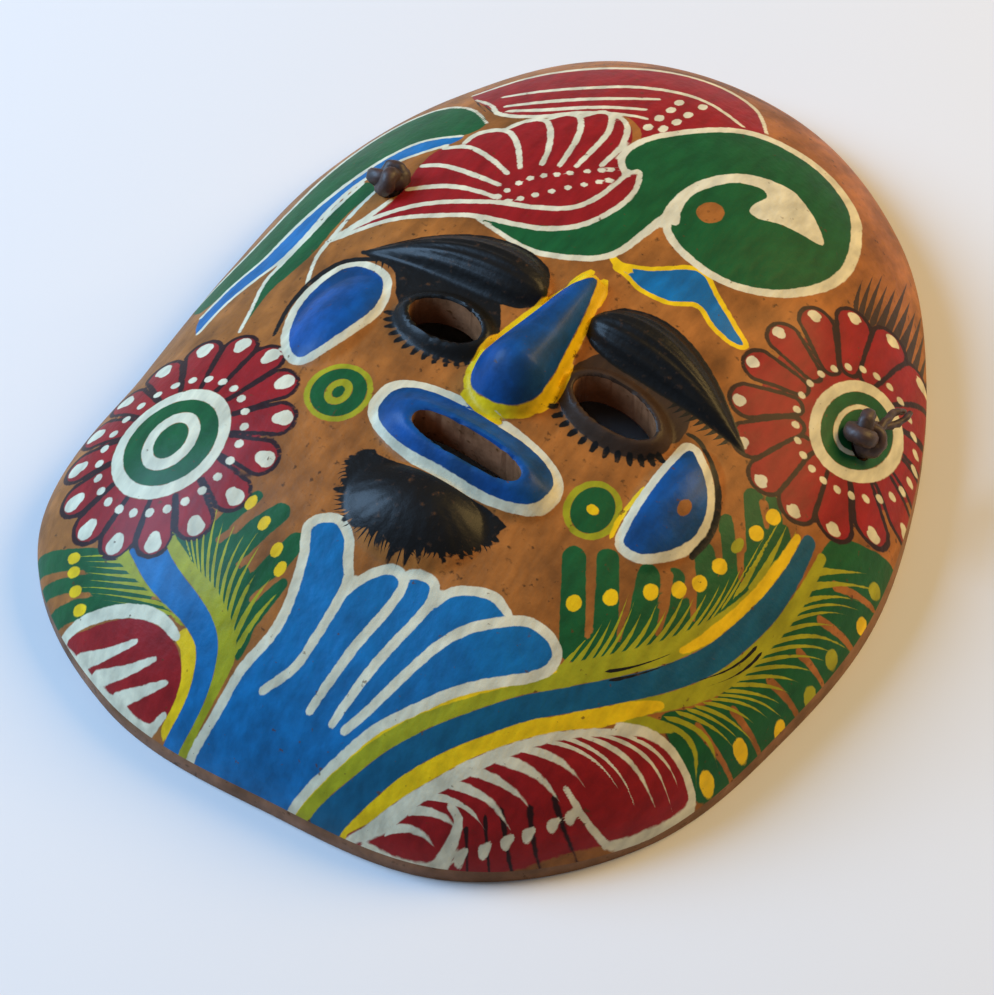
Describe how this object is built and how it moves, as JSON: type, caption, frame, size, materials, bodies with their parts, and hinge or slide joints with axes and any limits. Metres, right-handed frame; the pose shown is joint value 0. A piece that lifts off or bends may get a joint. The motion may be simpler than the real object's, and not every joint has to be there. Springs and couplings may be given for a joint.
{
  "type": "terracotta face mask",
  "caption": "Hollow painted clay face mask with open eyes and mouth, modelled brows, nose and lips, and a knotted leather hanging thong.",
  "frame": {"origin": "on the table under the middle of the mask's outline, where its flat rim rests", "axes": "+Z out of the face, +Y from chin to crown, +X to the right of someone looking at the face"},
  "size_m": [0.156, 0.1998, 0.049],
  "materials": {
    "painted_clay": "fired clay with brush-painted ornament under a satin varnish",
    "leather": "dark brown rawhide strip, dull and worn"
  },
  "bodies": {
    "root": {"mask": "painted_clay", "thong": "leather", "knot_left": "leather", "knot_right": "leather"}
  },
  "joints": []
}
